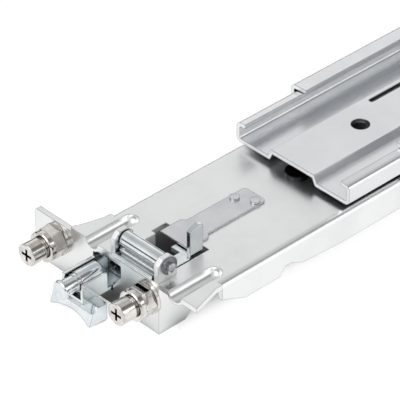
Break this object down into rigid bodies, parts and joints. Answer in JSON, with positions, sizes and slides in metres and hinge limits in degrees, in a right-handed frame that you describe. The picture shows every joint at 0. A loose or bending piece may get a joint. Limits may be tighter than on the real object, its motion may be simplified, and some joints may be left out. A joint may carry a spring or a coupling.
{
  "type": "sliding server rail",
  "caption": "Telescopic ball-bearing server rail with depth-setting end brackets, sprung rear latch lever, locating studs and a server-side channel with keyholes.",
  "frame": {"origin": "midway between the two rear studs, in the face of the rear flange that lies on the rack post", "axes": "+X along the rail from the rear flange to the front flange, +Z from the rack wall towards the server, Y along the rack posts"},
  "size_m": [0.7508, 0.0568, 0.0242],
  "materials": {
    "zinc_channel": "zinc-plated cold-rolled steel, satin",
    "zinc_plate": "zinc-plated steel sheet, satin",
    "latch_zinc": "bright blue-passivated zinc",
    "stud_nickel": "nickel-plated, turned",
    "rivet_steel": "plain bright steel",
    "spring_steel": "plain spring steel, satin",
    "cage_steel": "zinc-plated strip",
    "ball_chrome": "polished bearing steel",
    "buffer_plastic": "dark moulded plastic"
  },
  "bodies": {
    "outer": {"outer_rail": "zinc_channel", "front_bracket": "zinc_plate", "guide_rivets": "rivet_steel", "front_rivets": "rivet_steel", "front_studs": "stud_nickel", "front_bushes": "stud_nickel", "front_latch_rivet": "rivet_steel"},
    "front_latch": {"front_latch": "latch_zinc"},
    "rear_bracket": {"rear_bracket": "zinc_plate", "rear_studs": "stud_nickel", "rear_bushes": "stud_nickel", "rear_hook_pin": "rivet_steel", "rear_hook_clip": "spring_steel", "rear_hook_spring": "spring_steel", "rear_spring_post": "rivet_steel", "rear_leaf": "spring_steel", "rear_leaf_rivets": "rivet_steel", "rear_stop_rivet": "rivet_steel"},
    "rear_hook": {"rear_hook": "latch_zinc", "rear_clamp_screw": "stud_nickel"},
    "middle": {"middle_rail": "zinc_channel", "retract_buffer": "buffer_plastic", "buffer_rivet": "rivet_steel"},
    "inner": {"inner_rail": "zinc_channel", "lever_rivet": "rivet_steel"},
    "inner_cage": {"inner_cage_near": "cage_steel", "inner_cage_far": "cage_steel", "inner_balls": "ball_chrome"},
    "release_lever": {"release_lever": "latch_zinc"}
  },
  "joints": [
    {"name": "depth_adjust", "type": "slide", "parent": "outer", "child": "rear_bracket", "axis": [1, 0, 0], "range_m": [-0.1, 0.015]},
    {"name": "rear_hook_pivot", "type": "hinge", "parent": "rear_bracket", "child": "rear_hook", "pos_m": [0.0033, -0.01, 0.0092], "axis": [0, 1, 0], "range_deg": [0, 6], "stiffness_Nm_per_rad": 0.05},
    {"name": "front_latch_pivot", "type": "hinge", "parent": "outer", "child": "front_latch", "pos_m": [0.682, -0.0055, 0.00305], "axis": [0, 0, 1], "range_deg": [-2, 2]},
    {"name": "middle_slide", "type": "slide", "parent": "outer", "child": "middle", "axis": [1, 0, 0], "range_m": [0, 0.3]},
    {"name": "inner_slide", "type": "slide", "parent": "middle", "child": "inner", "axis": [1, 0, 0], "range_m": [0, 0.33]},
    {"name": "inner_cage_slide", "type": "slide", "parent": "middle", "child": "inner_cage", "axis": [1, 0, 0], "range_m": [0, 0.165]},
    {"name": "release_pivot", "type": "hinge", "parent": "inner", "child": "release_lever", "pos_m": [0.64, -0.0105, 0.0128], "axis": [0, 0, 1], "range_deg": [-4, 4]}
  ],
  "couplings": [
    {"joint": "inner_cage_slide", "follows": "inner_slide", "ratio": 0.5}
  ]
}
